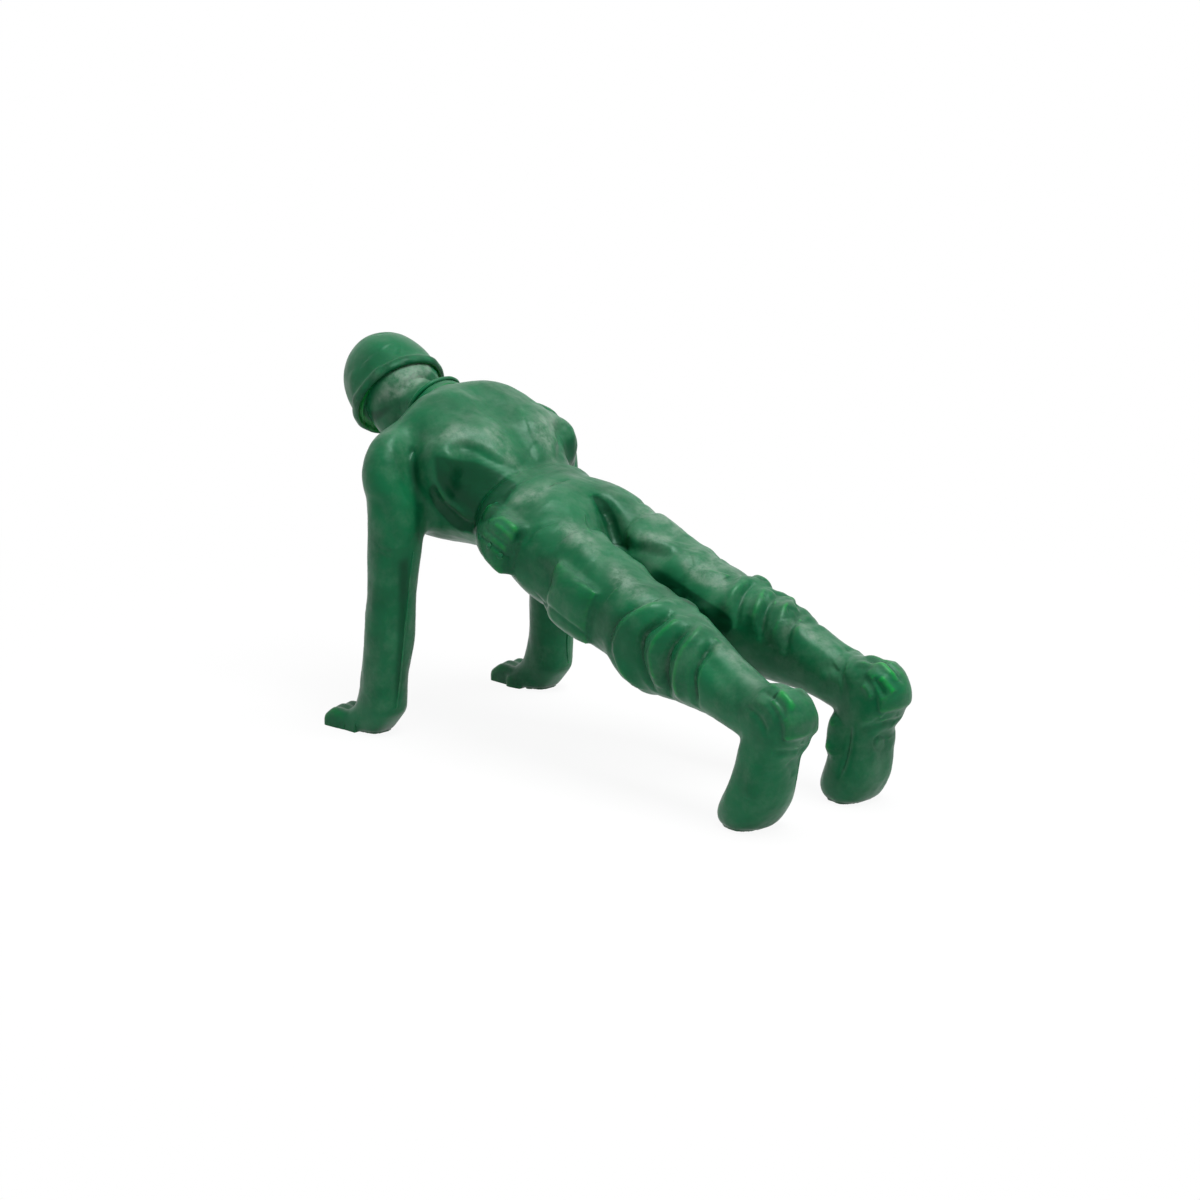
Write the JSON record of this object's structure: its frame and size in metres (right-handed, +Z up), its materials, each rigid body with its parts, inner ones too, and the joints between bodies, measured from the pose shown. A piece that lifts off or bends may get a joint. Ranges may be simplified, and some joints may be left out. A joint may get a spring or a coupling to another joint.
{
  "type": "toy soldier figure",
  "caption": "Moulded green plastic toy soldier in a straight-arm plank, in helmet, field clothes and boots, standing on palms and toes.",
  "frame": {"origin": "on the floor, under the middle of the figure's bounding box", "axes": "+X the way the figure faces, from boots to helmet; +Y its left side; +Z up"},
  "size_m": [0.0754, 0.03, 0.0399],
  "materials": {
    "green_plastic": "semi-gloss moulded polyethylene, with faint scuffs and dust in the recesses"
  },
  "bodies": {
    "root": {"helmet": "green_plastic", "head": "green_plastic", "neck": "green_plastic", "collar": "green_plastic", "torso": "green_plastic", "left_upper_arm": "green_plastic", "left_forearm": "green_plastic", "left_hand": "green_plastic", "right_upper_arm": "green_plastic", "right_forearm": "green_plastic", "right_hand": "green_plastic", "waistband": "green_plastic", "trouser_seat": "green_plastic", "hip_pouch": "green_plastic", "left_thigh": "green_plastic", "left_thigh_pocket": "green_plastic", "left_knee_gathers": "green_plastic", "left_trouser_leg": "green_plastic", "left_boot": "green_plastic", "left_boot_heel": "green_plastic", "right_thigh": "green_plastic", "right_thigh_pocket": "green_plastic", "right_knee_gathers": "green_plastic", "right_trouser_leg": "green_plastic", "right_boot": "green_plastic", "right_boot_heel": "green_plastic"}
  },
  "joints": []
}
